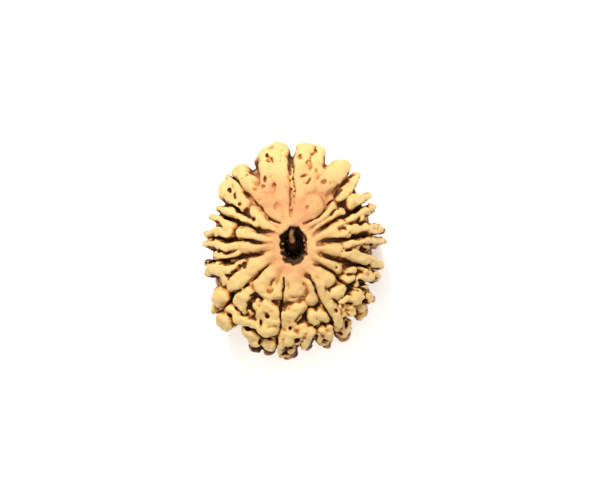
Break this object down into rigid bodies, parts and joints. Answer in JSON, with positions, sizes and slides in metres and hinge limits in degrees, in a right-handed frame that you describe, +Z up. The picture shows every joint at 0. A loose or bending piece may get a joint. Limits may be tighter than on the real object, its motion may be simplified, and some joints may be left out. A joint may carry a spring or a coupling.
{
  "type": "rudraksha bead",
  "caption": "Large dried fruit stone grown as a squat bead: deep furrows run from pole to pole between knobbed ribs, round a natural oval bore.",
  "frame": {"origin": "centre of the bead's box in plan, on the plane that it rests on", "axes": "+Z up along the bore, +Y toward the longest side of the oval plan, the one with the two broad lobes, +X across the narrow side"},
  "size_m": [0.0282, 0.033, 0.0208],
  "materials": {
    "seed_stone": "dry woody fruit stone, pale yellow-tan crests with red-brown hollows, satin"
  },
  "bodies": {
    "root": {"bead": "seed_stone"}
  },
  "joints": []
}
